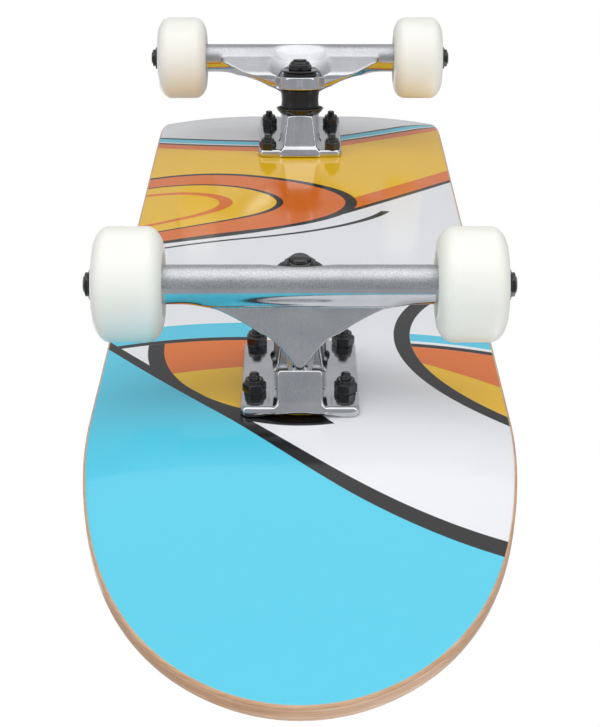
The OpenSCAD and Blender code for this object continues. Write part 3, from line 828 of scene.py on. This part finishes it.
def nut(bore, flats, hex_top, collar, top, dome=0.6):
    """A chamfered hexagonal nut with a round locking collar, whose shoulder is rounded by dome."""
    corner, half = flats / math.sqrt(3), flats / 2
    middle = (corner + half) / 2
    profile = [(bore, 0.0), (half * 0.98, 0.0), (middle, 0.22, "hex"), (corner, 0.55, "hex"),
               (corner, hex_top - 0.55, "hex"), (middle, hex_top - 0.2, "hex"), (half * 0.96, hex_top)]
    profile += [(collar + 0.15, hex_top), (collar, hex_top + 0.12)]
    profile += arc(collar - dome, top - min(dome, top - hex_top - 0.2), dome, 0, 85, 6,
                   min(dome, top - hex_top - 0.2))
    profile += [(bore + 0.3, top), (bore, top - 0.3)]
    return turned(profile, 72, flats)


def socket_bolt():
    """A countersunk bolt with a hexagonal socket, from its head to its threaded tip."""
    head = [(3.2, -TOP + 2.0, "socket"), (3.2, -TOP + 0.15, "socket"), (3.5, -TOP + 0.03, "socket"),
            (4.25, -TOP + 0.03), (4.5, -TOP + 0.12), (4.58, -TOP + 0.3), (2.4, -9.2), (2.35, 2.6)]
    return joined([turned(head, 48, closed=False), threaded(2.38, 0.8, 0.42, 2.4, 13.5, 24)])


def four_bolts(part):
    """One part at each of the truck's four bolts, each turned a little differently."""
    spots = ((-BOLT_X, -BOLT_Y, 0.2), (-BOLT_X, BOLT_Y, 0.7), (BOLT_X, -BOLT_Y, 0.45), (BOLT_X, BOLT_Y, 0.05))
    return joined([moved(part, Matrix.Translation((x, y, 0)) @ Matrix.Rotation(turn, 4, "Z"))
                   for x, y, turn in spots])


def smoothstep(low, high, value):
    t = np.clip((value - low) / (high - low), 0, 1)
    return t * t * (3 - 2 * t)


def hanger_finish(obj, points):
    """Roughness, cast grain and brushing of the hanger's zones."""
    x, y, z = points.T
    t, from_kingpin = kingpin_coordinates(x, y, z)
    h, out = yoke_coordinates(x, z)
    on_barrel = smoothstep(1.2, 0.3, np.abs(np.hypot(x + AXLE_OUT, z - AXLE_DROP) - BARREL_R))
    turn = np.degrees(np.arctan2(-(x + AXLE_OUT), z - AXLE_DROP))
    upper = smoothstep(86, 78, turn) * smoothstep(-100, -80, turn)
    inset = (yoke_half(h) - np.abs(y)) / np.sqrt(1 + (0.70 + 0.0027 * np.clip(h, 0, 28) ** 2) ** 2)
    face = smoothstep(0.9, 0.3, np.abs(out)) * smoothstep(0.8, 1.6, inset)
    face *= smoothstep(YOKE_TOP, YOKE_TOP - 1, h)
    matte = smoothstep(2.0, 4.0, -out) * (1 - on_barrel) * smoothstep(5.0, 6.0, np.abs(t))
    grain = np.maximum(on_barrel * upper, 0.45 * matte)
    rough = 0.13 + 0.22 * on_barrel * upper + 0.22 * face + 0.22 * matte
    set_attribute(obj, "rough", rough)
    set_attribute(obj, "grain", grain)
    set_attribute(obj, "brush", face)


def baseplate_finish(obj, points):
    """Mirror-polished plate, and brushed block faces."""
    x, y, z = points.T
    step = 0.5
    here = baseplate_field(x - step, y, z), baseplate_field(x, y - step, z), baseplate_field(x, y, z - step)
    there = baseplate_field(x + step, y, z), baseplate_field(x, y + step, z), baseplate_field(x, y, z + step)
    gradient = np.linalg.norm([b - a for a, b in zip(here, there)], axis=0) / (2 * step)
    flat = smoothstep(0.9, 0.985, gradient)
    block = smoothstep(PLATE_THICK + 1.5, PLATE_THICK + 3.0, z) * flat
    set_attribute(obj, "rough", 0.09 + 0.22 * block)
    set_attribute(obj, "grain", 0.12 + 0.1 * block)
    set_attribute(obj, "brush", block)


hanger_net = net(hanger_field, (-43.2, -65.1, 2.1), (26.0, 65.0, 63.0), 0.6)
baseplate_net = net(baseplate_field, (-47.2, -28.53, -1.3), (37.0, 28.5, 34.0), 0.6)


def bushing(low, high, rim, middle):
    """A moulded bushing with rounded rims, its side swelling or waisting from rim to middle radius."""
    bore, corner = 5.0, min(1.1, (high - low) / 4)
    near = middle + (rim - middle) * 0.3
    side = [(rim, low + corner), (near, low + (high - low) * 0.3), (middle, (low + high) / 2),
            (near, low + (high - low) * 0.7), (rim, high - corner)]
    profile = [(bore, low), (rim - corner, low), (rim - 0.35, low + 0.3)] + side
    profile += [(rim - 0.35, high - 0.3), (rim - corner, high), (bore, high)]
    profile += [(bore, high - (high - low) * k / 5) for k in range(1, 5)]
    return turned(profile, 96)


def truck(end):
    here, body = truck_matrix(end), f"{end}_truck"
    hanger = make_object(f"{end}_hanger_casting", *hanger_net, here, ALUMINIUM)
    hanger_finish(hanger, hanger_net[0])
    place(hanger, body, "cast_aluminium", f"{end}_hanger")
    plate = make_object(f"{end}_baseplate_casting", *baseplate_net, here, ALUMINIUM)
    baseplate_finish(plate, baseplate_net[0])
    place(plate, "deck", "cast_aluminium", f"{end}_baseplate")

    place(make_object(f"{end}_bolt_set", *four_bolts(socket_bolt()), here, BLACK_STEEL),
          "deck", "black_steel", f"{end}_deck_bolts")
    lock_nut = moved(nut(2.42, 9.5, 4.4, 4.2, 6.2), Matrix.Translation((0, 0, PLATE_THICK)))
    place(make_object(f"{end}_lock_nut_set", *four_bolts(lock_nut), here, BLACK_STEEL),
          "deck", "black_steel", f"{end}_lock_nuts")

    head = turned([(6.2, -40.8), (7.7, -40.8), (8.0, -40.5), (8.0, -36.6), (7.7, -36.3), (4.74, -36.3),
                   (4.74, 7.0)], 64, closed=False)
    pin = joined([head, threaded(4.74, 1.06, 0.6, 6.8, KINGPIN_TIP)])
    on_pin = kingpin_matrix(end, 0)
    place(make_object(f"{end}_kingpin_bolt", *pin, on_pin, BLACK_STEEL), "deck", "black_steel",
          f"{end}_kingpin")
    cup = turned([(4.9, 0.0), (11.6, 0.0), (12.4, 0.15), (13.2, 0.9), (14.9, 3.0), (15.15, 3.5),
                  (15.1, 3.85), (14.7, 4.0), (14.2, 3.85), (13.9, 3.3), (12.9, 1.9), (12.6, 1.5),
                  (4.9, CUP_BASE)], 96)
    top = turned([(4.9, 0.0), (11.2, 0.0), (11.55, 0.1), (11.7, 0.35), (11.7, 0.85), (11.5, 1.12),
                  (11.2, 1.2), (4.9, 1.2)], 96)
    hex_nut = nut(4.78, 14.3, 3.9, 6.5, 5.6, dome=1.6)
    for name, node, part, t in (("cup_washer", "lower_washer", cup, -SEAT),
                                ("top_washer", "upper_washer", top, UPPER_WASHER_AT),
                                ("kingpin_hex_nut", "kingpin_nut", hex_nut, NUT_AT)):
        place(make_object(f"{end}_{name}", *moved(part, Matrix.Translation((0, 0, t))), on_pin, BLACK_STEEL),
              "deck", "black_steel", f"{end}_{node}")

    # the bushings, with their place baked into their vertices and attached to no body
    for name, node, low, high, rim, middle in (
            ("deck_side_bushing", "lower_bushing", -SEAT + CUP_BASE, -RING_HALF, 12.45, 11.85),
            ("road_side_bushing", "upper_bushing", UPPER_WASHER_AT, UPPER_SEAT, 10.35, 10.5)):
        part = bushing(min(low, high), max(low, high), rim, middle)
        obj = make_object(f"{end}_{name}", *part, on_pin, BUSHING)
        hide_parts(f"{end}_{node}")
        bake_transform(obj)

    rod = turned([(3.9, -88.0), (AXLE_R, -87.9), (AXLE_R, 87.9), (3.9, 88.0)], 48, closed=False)
    ends = [moved(threaded(AXLE_R, 1.06, 0.55, 87.0, AXLE_HALF, 32), Matrix.Rotation(turn, 4, "X"))
            for turn in (0.0, math.pi)]
    along_axle = Matrix.Translation(AXLE[end]) @ Matrix.Rotation(-math.pi / 2, 4, "X")
    place(make_object(f"{end}_axle_rod", *joined([rod] + ends), along_axle, AXLE_STEEL),
          body, "axle_steel", f"{end}_axle")


def wheel(end, side):
    name, body = f"{end}_{side}", f"{end}_{side}_wheel"
    half, tread, lip = 15.75, 8.0, 15.5
    shoulder = [(lip + (WHEEL_R - lip) * math.sin(a), tread + (half - tread) * math.cos(a))
                for a in np.linspace(0.0, math.pi / 2, 14)]
    upper = ([(WHEEL_R, z) for z in (0.0, 4.0)] + shoulder[::-1]
             + [(15.1, 15.68), (14.7, 15.4), (14.0, 14.3), (13.5, 13.1), (13.1, 12.6), (12.5, 12.4),
                (11.0, 12.4), (11.0, 5.3), (10.8, 5.1), (8.5, 5.1)])
    lower = [(r, -z) for r, z in upper[:0:-1]]
    place(make_object(f"{name}_tyre", *turned(lower + upper, 128), hub_matrix(end, side, HUB_MIDDLE), WHEEL),
          body, "wheel_urethane", body)
    rings = []
    for low, sign in ((1.35, 1), (24.85, -1)):
        lip_z = [(6.42, 0.1), (6.42, 0.0), (6.9, 0.0), (7.0, 0.08), (8.5, 0.08), (8.6, 0.0), (9.08, 0.0),
                 (9.08, 0.4), (6.42, 0.4)]
        profile = [(r, low + sign * z) for r, z in lip_z[1:]]
        rings.append(turned(profile if sign > 0 else profile[::-1], 72))
    place(make_object(f"{name}_seal_rings", *joined(rings), hub_matrix(end, side), SHIELD),
          body, "shield_rubber", f"{name}_shields")
    place(make_object(f"{name}_axle_lock_nut", *moved(nut(4.0, 12.7, 4.7, 5.5, 6.4),
                      Matrix.Translation((0, 0, 26.2))), hub_matrix(end, side), BLACK_STEEL),
          f"{end}_truck", "black_steel", f"{name}_axle_nut")
    for node in ("outer_races", "inner_races", "balls", "spacer", "speed_washers"):
        paint(f"{name}_{node}", BEARING_STEEL)


def paint(node, material):
    """Gives a CAD node that stays visible its material."""
    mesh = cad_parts[node].data
    mesh.materials.clear()
    mesh.materials.append(material)


for end in ENDS:
    truck(end)
    paint(f"{end}_pivot_cup", BUSHING)
    for side in SIDES:
        wheel(end, side)


# ---- Stage, light and camera --------------------------------------------------------------------------

def plain_material(name, colour, roughness):
    m = Shader(name)
    tint = m.mix(m.noise(3.0, 2.0), colour, tuple(c * 0.985 for c in colour[:3]) + (1.0,))
    m.set(base_color=tint, roughness=roughness, specular_ior_level=0.2)
    back = m.node("NewGeometry").outputs["Backfacing"]
    clear = m.node("BsdfTransparent")
    both = m.node("MixShader")
    m.feed(both.inputs[0], back)
    m.feed(both.inputs[1], m.shader.outputs[0])
    m.feed(both.inputs[2], clear.outputs[0])
    m.feed(m.tree.nodes["Material Output"].inputs["Surface"], both.outputs[0])
    return m.material


# The board is seen from below, so the floor is clear from its underside, and only the camera sees it.
FAR = 40000
floor = make_object("floor", [(-FAR, -FAR, 0), (FAR, -FAR, 0), (FAR, FAR, 0), (-FAR, FAR, 0)],
                    [(0, 1, 2, 3)], None, plain_material("pale_floor", srgb(236, 236, 236), 0.6), False)
for ray in ("diffuse", "glossy", "transmission", "shadow", "volume_scatter"):
    setattr(floor, f"visible_{ray}", False)


def light(name, place_, target, width, height, power):
    data = bpy.data.lights.new(name, "AREA")
    data.shape, data.size, data.size_y, data.energy = "RECTANGLE", width, height, power
    obj = bpy.data.objects.new(name, data)
    obj.location = place_
    obj.rotation_euler = (Vector(target) - Vector(place_)).to_track_quat("-Z", "Y").to_euler()
    obj.visible_camera = False
    bpy.context.scene.collection.objects.link(obj)
    return obj


CENTRE = Vector((AXLE["front"].x * MM, 0, 0.05))
light("below_softbox", (0.2, 0.0, -1.3), CENTRE, 2.6, 1.6, 12)
light("front_softbox", (1.9, 0.0, -0.5), CENTRE, 1.5, 1.0, 12).visible_glossy = False
light("left_strip", (0.5, 1.5, -0.7), CENTRE, 0.4, 1.6, 3)
light("right_strip", (0.5, -1.5, -0.7), CENTRE, 0.4, 1.6, 3)
light("above_softbox", (0.3, -0.6, 1.8), CENTRE, 1.6, 1.6, 12)
light("back_softbox", (-1.8, 0.8, 1.0), CENTRE, 1.2, 1.0, 6)

world = bpy.data.worlds.new("studio")
bpy.context.scene.world = world
world.use_nodes = True
tree = world.node_tree
background = tree.nodes["Background"]
background.inputs["Color"].default_value = (1, 1, 1, 1)
background.inputs["Strength"].default_value = 1.0
room = tree.nodes.new("ShaderNodeBackground")
split = tree.nodes.new("ShaderNodeSeparateXYZ")
tree.links.new(tree.nodes.new("ShaderNodeTexCoord").outputs["Generated"], split.inputs[0])
ramp = tree.nodes.new("ShaderNodeValToRGB")
ramp.color_ramp.interpolation = "EASE"
ramp.color_ramp.elements[0].color = (0.50, 0.50, 0.51, 1)
ramp.color_ramp.elements[1].color = (0.39, 0.40, 0.42, 1)
# darker towards the camera and to both sides
ahead = tree.nodes.new("ShaderNodeMath")
ahead.operation = "MAXIMUM"
tree.links.new(split.outputs[0], ahead.inputs[0])
ahead.inputs[1].default_value = 0.0
side_step = tree.nodes.new("ShaderNodeMath")
side_step.operation = "ABSOLUTE"
tree.links.new(split.outputs[1], side_step.inputs[0])
darker = tree.nodes.new("ShaderNodeMath")
darker.operation = "ADD"
tree.links.new(ahead.outputs[0], darker.inputs[0])
tree.links.new(side_step.outputs[0], darker.inputs[1])
tree.links.new(darker.outputs[0], ramp.inputs[0])
tree.links.new(ramp.outputs[0], room.inputs["Color"])
room.inputs["Strength"].default_value = 1.0
choice = tree.nodes.new("ShaderNodeMixShader")
tree.links.new(tree.nodes.new("ShaderNodeLightPath").outputs["Is Camera Ray"], choice.inputs[0])
tree.links.new(room.outputs[0], choice.inputs[1])
tree.links.new(background.outputs[0], choice.inputs[2])
tree.links.new(choice.outputs[0], tree.nodes["World Output"].inputs["Surface"])

CAMERA_OUT, CAMERA_BELOW, CAMERA_TILT = 761.36, 344.93, math.radians(23.988)
camera_data = bpy.data.cameras.new("camera")
camera_data.sensor_width = 36.0
camera_data.lens = 88.49
camera_data.clip_start = 0.01
camera = bpy.data.objects.new("camera", camera_data)
bpy.context.scene.collection.objects.link(camera)
spot = Vector((TRUCK_X["front"] + CAMERA_OUT, 0, UNDER_Z - CAMERA_BELOW)) * MM
s, c = math.sin(CAMERA_TILT), math.cos(CAMERA_TILT)
camera.matrix_world = Matrix(((0, -s, c, spot.x), (-1, 0, 0, spot.y), (0, -c, -s, spot.z), (0, 0, 0, 1)))
bpy.context.scene.camera = camera
bpy.context.scene.view_settings.view_transform = "Standard"
